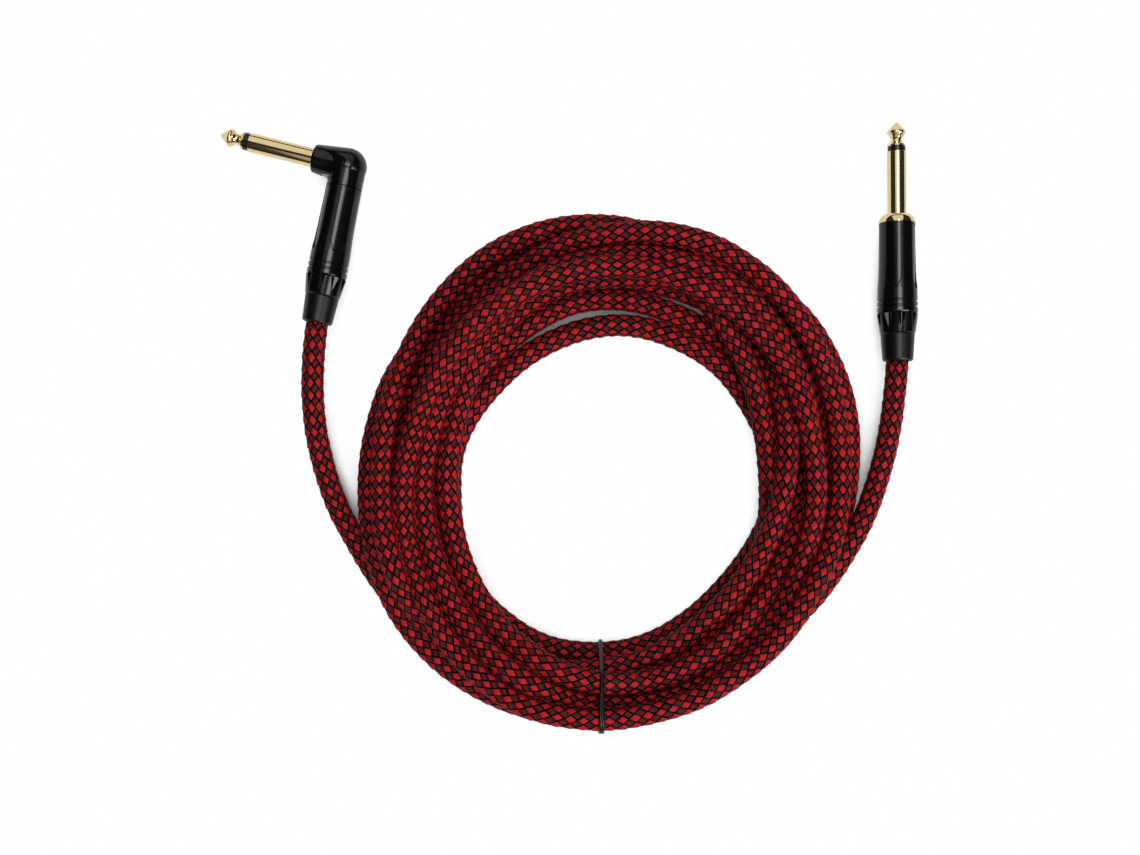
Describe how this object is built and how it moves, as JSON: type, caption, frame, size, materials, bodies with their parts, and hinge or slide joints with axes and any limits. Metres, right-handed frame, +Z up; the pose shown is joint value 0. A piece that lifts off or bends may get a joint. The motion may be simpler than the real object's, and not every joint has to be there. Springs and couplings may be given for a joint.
{
  "type": "instrument cable",
  "caption": "Coiled braided instrument cable tied with a cord, with a straight quarter-inch jack plug at one end and a right-angle one at the other.",
  "frame": {"origin": "middle of the outline seen from above, on the surface the cable lies on", "axes": "+Z up, +Y towards the plugs' ends of the coil, +X towards the straight plug"},
  "size_m": [0.2359, 0.2071, 0.029],
  "materials": {
    "braid": "red and black woven braid",
    "tie_cord": "matte black cord",
    "gold_plate": "polished gold plate",
    "plain_brass": "plain",
    "tinned_copper": "tinned strands",
    "black_insulator": "smooth",
    "ivory_insulator": "plain",
    "fibre_washer": "plain",
    "black_shell": "satin black plating",
    "black_boot": "smooth matte"
  },
  "bodies": {
    "cable": {"cable_coil": "braid", "cable_tie": "tie_cord", "cable_lead_angle": "braid", "cable_lead_straight": "braid", "straight_tip_contact": "gold_plate", "straight_tip_insulator": "black_insulator", "straight_sleeve": "gold_plate", "straight_insulating_tube": "ivory_insulator", "straight_tip_rod": "plain_brass", "straight_lug_washer": "fibre_washer", "straight_tip_lug": "plain_brass", "straight_ground_lug": "plain_brass", "straight_core_wire": "ivory_insulator", "straight_shield_tail": "tinned_copper", "straight_cable_end": "braid", "angle_tip_contact": "gold_plate", "angle_tip_insulator": "black_insulator", "angle_sleeve": "gold_plate", "angle_insulating_tube": "ivory_insulator", "angle_tip_rod": "plain_brass", "angle_lug_washer": "fibre_washer", "angle_tip_lug": "plain_brass", "angle_ground_lug": "plain_brass", "angle_core_wire": "ivory_insulator", "angle_shield_tail": "tinned_copper", "angle_cable_end": "braid", "angle_head": "black_shell"},
    "straight_collet": {"straight_collet": "ivory_insulator"},
    "straight_barrel": {"straight_barrel": "black_shell", "straight_barrel_liner": "ivory_insulator"},
    "straight_boot": {"straight_boot": "black_boot"},
    "straight_clamp_nut": {"straight_clamp_nut": "black_shell"},
    "angle_collet": {"angle_collet": "ivory_insulator"},
    "angle_barrel": {"angle_barrel": "black_shell", "angle_barrel_liner": "ivory_insulator"},
    "angle_boot": {"angle_boot": "black_boot"},
    "angle_clamp_nut": {"angle_clamp_nut": "black_shell"},
    "angle_rear_cap": {"angle_rear_cap": "black_shell"}
  },
  "joints": [
    {"name": "straight_barrel_back", "type": "slide", "parent": "cable", "child": "straight_collet", "axis": [0, -0.9997, 0.0227], "range_m": [0, 0.003]},
    {"name": "straight_barrel_turn", "type": "hinge", "parent": "straight_collet", "child": "straight_barrel", "pos_m": [0.1111, 0.10364, 0.00572], "axis": [0, -0.9997, 0.0227], "range_deg": [0, 1440]},
    {"name": "straight_nut_back", "type": "slide", "parent": "straight_collet", "child": "straight_boot", "axis": [0, -0.9997, 0.0227], "range_m": [0, 0.003]},
    {"name": "straight_nut_turn", "type": "hinge", "parent": "straight_boot", "child": "straight_clamp_nut", "pos_m": [0.1111, 0.10364, 0.00572], "axis": [0, -0.9997, 0.0227], "range_deg": [0, 1440]},
    {"name": "angle_barrel_back", "type": "slide", "parent": "cable", "child": "angle_collet", "axis": [-0.1925, -0.981, 0.0227], "range_m": [0, 0.003]},
    {"name": "angle_barrel_turn", "type": "hinge", "parent": "angle_collet", "child": "angle_barrel", "pos_m": [-0.0749, 0.08856, 0.00631], "axis": [-0.1925, -0.981, 0.0227], "range_deg": [0, 1440]},
    {"name": "angle_nut_back", "type": "slide", "parent": "angle_collet", "child": "angle_boot", "axis": [-0.1925, -0.981, 0.0227], "range_m": [0, 0.003]},
    {"name": "angle_nut_turn", "type": "hinge", "parent": "angle_boot", "child": "angle_clamp_nut", "pos_m": [-0.0749, 0.08856, 0.00631], "axis": [-0.1925, -0.981, 0.0227], "range_deg": [0, 1440]},
    {"name": "angle_rear_cap_slide", "type": "slide", "parent": "cable", "child": "angle_rear_cap", "axis": [0.9813, -0.1925, 0], "range_m": [0, 0.008]}
  ],
  "couplings": [
    {"joint": "straight_barrel_turn", "follows": "straight_barrel_back", "rad_per_m": 8377.5},
    {"joint": "straight_nut_turn", "follows": "straight_nut_back", "rad_per_m": 8377.5},
    {"joint": "angle_barrel_turn", "follows": "angle_barrel_back", "rad_per_m": 8377.5},
    {"joint": "angle_nut_turn", "follows": "angle_nut_back", "rad_per_m": 8377.5}
  ]
}
